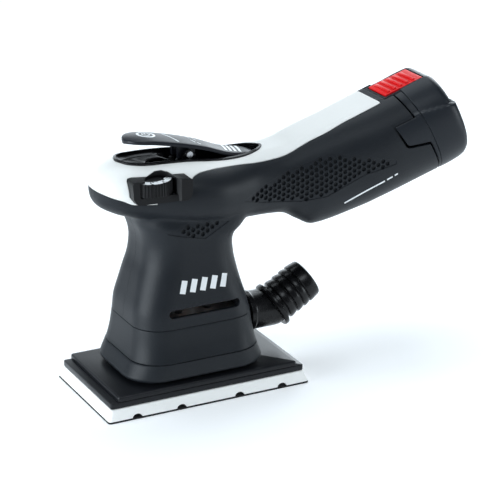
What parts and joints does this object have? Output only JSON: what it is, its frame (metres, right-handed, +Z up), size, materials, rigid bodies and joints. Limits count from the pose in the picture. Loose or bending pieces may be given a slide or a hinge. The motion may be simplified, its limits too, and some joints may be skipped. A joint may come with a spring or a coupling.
{
  "type": "detail sander",
  "caption": "Cordless palm sander: a rectangular orbiting pad under an upright motor housing, with a sloping handle, rocker lever, speed dial, dust nozzle and slide-in battery.",
  "frame": {"origin": "centre of the pad's underside, on the surface being sanded", "axes": "+X towards the battery at the rear, -Y towards the side with the speed dial, +Z up"},
  "size_m": [0.2541, 0.0788, 0.1744],
  "materials": {
    "shell_plastic": "fine spark-eroded texture, near-black blue-grey",
    "cover_plastic": "smooth satin, very light grey",
    "black_plastic": "satin black",
    "gloss_plastic": "glossy black",
    "red_plastic": "satin red",
    "foam": "white closed-cell foam",
    "hook": "dark hook fabric",
    "plate_plastic": "satin black glass-filled plastic",
    "steel": "ground steel",
    "dark_steel": "blackened steel",
    "aluminium": "die-cast aluminium",
    "motor_core": "laminated steel with copper windings",
    "circuit_board": "green solder mask",
    "rubber": "black rubber",
    "cell_wrap": null
  },
  "bodies": {
    "housing": {"skirt": "shell_plastic", "housing_ring": "shell_plastic", "motor_plate": "aluminium", "lower_bearing": "steel", "stator": "motor_core", "end_bell": "aluminium", "upper_bearing": "steel", "control_board": "circuit_board", "dust_nozzle": "gloss_plastic", "nozzle_seal": "rubber", "shell_left": "shell_plastic", "shell_right": "shell_plastic", "top_cover": "cover_plastic", "lever_tray": "gloss_plastic", "lever_pin": "steel", "lever_spring": "steel", "micro_switch": "black_plastic", "dial_bezel": "black_plastic", "dial_pot": "dark_steel", "terminal_block": "black_plastic", "elastic_post_1": "rubber", "elastic_post_2": "rubber", "elastic_post_3": "rubber", "elastic_post_4": "rubber", "shell_screw_1": "dark_steel", "shell_screw_2": "dark_steel", "shell_screw_3": "dark_steel", "shell_screw_4": "dark_steel", "shell_screw_5": "dark_steel"},
    "drive": {"eccentric": "dark_steel", "fan": "black_plastic", "rotor": "steel"},
    "pad": {"hook_layer": "hook", "pad_foam": "foam", "lower_plate": "plate_plastic", "upper_plate": "plate_plastic", "pad_hub": "aluminium", "pad_bearing": "steel", "pad_screw_1": "dark_steel", "pad_screw_2": "dark_steel", "pad_screw_3": "dark_steel", "pad_screw_4": "dark_steel"},
    "lever": {"lever": "black_plastic"},
    "dial": {"speed_dial": "black_plastic"},
    "battery": {"battery_front": "black_plastic", "battery_rear": "black_plastic", "battery_cell_1": "cell_wrap", "battery_cell_2": "cell_wrap", "battery_cell_3": "cell_wrap", "battery_cell_4": "cell_wrap", "latch_spring": "steel"},
    "latch": {"latch_button": "red_plastic"}
  },
  "joints": [
    {"name": "motor_spin", "type": "hinge", "parent": "housing", "child": "drive", "pos_m": [-0.0015, 0, 0.06], "axis": [0, 0, 1], "continuous": true},
    {"name": "pad_orbit", "type": "hinge", "parent": "drive", "child": "pad", "pos_m": [0, 0, 0.0225], "axis": [0, 0, 1], "continuous": true},
    {"name": "lever_press", "type": "hinge", "parent": "housing", "child": "lever", "pos_m": [0.0015, 0, 0.1475], "axis": [0, -1, 0], "range_deg": [0, 9], "stiffness_Nm_per_rad": 0.25, "springref_deg": -17.19},
    {"name": "dial_turn", "type": "hinge", "parent": "housing", "child": "dial", "pos_m": [-0.0285, -0.019, 0.137], "axis": [0, 0, 1], "range_deg": [-135, 135]},
    {"name": "battery_slide", "type": "slide", "parent": "housing", "child": "battery", "axis": [0.9537, 0, 0.3007], "range_m": [0, 0.05]},
    {"name": "latch_press", "type": "slide", "parent": "battery", "child": "latch", "axis": [0.3007, 0, -0.9537], "range_m": [0, 0.002], "stiffness_N_per_m": 1500, "springref_m": -0.002, "deforming": ["latch_spring"]}
  ],
  "couplings": [
    {"joint": "pad_orbit", "follows": "motor_spin", "ratio": -1}
  ]
}
